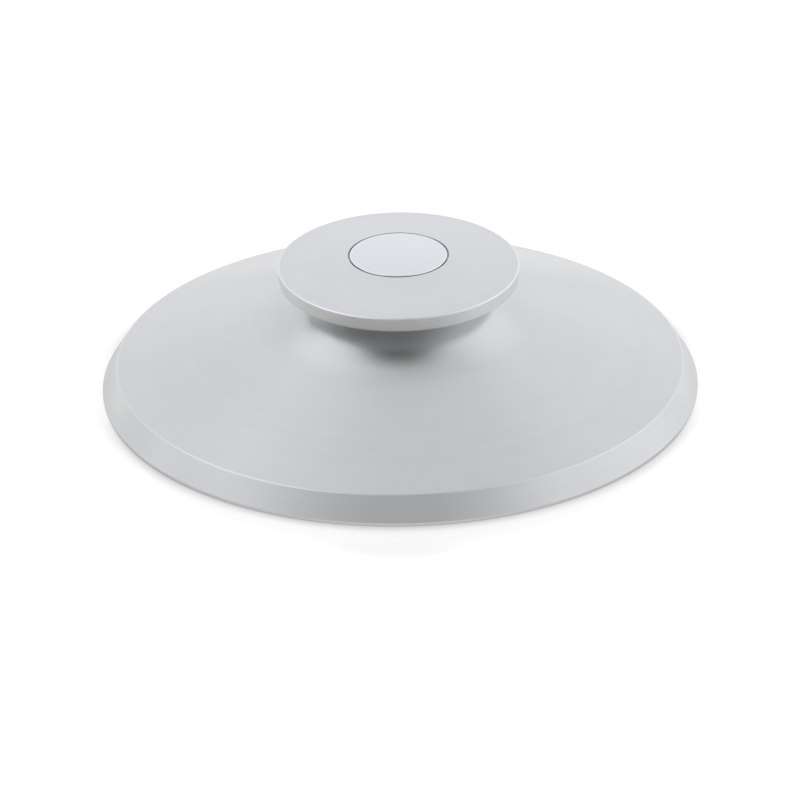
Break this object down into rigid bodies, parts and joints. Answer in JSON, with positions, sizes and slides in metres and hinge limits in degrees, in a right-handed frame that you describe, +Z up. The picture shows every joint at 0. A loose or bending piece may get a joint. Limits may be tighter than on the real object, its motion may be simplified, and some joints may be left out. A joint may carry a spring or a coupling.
{
  "type": "record weight",
  "caption": "Low round record weight: bevelled conical base that sweeps up in a hollow flare to a flat knob with a glossy badge, and a blind bore for the spindle underneath.",
  "frame": {"origin": "centre of the foot, on the face that rests on the record's label", "axes": "+Z up along the spindle's axis; X and Y lie in the record's plane"},
  "size_m": [0.1, 0.1, 0.0247],
  "materials": {
    "satin_aluminium": "fine turned, satin anodised",
    "badge_gloss": "silver under a clear glossy dome"
  },
  "bodies": {
    "root": {"weight_body": "satin_aluminium", "badge": "badge_gloss"}
  },
  "joints": []
}
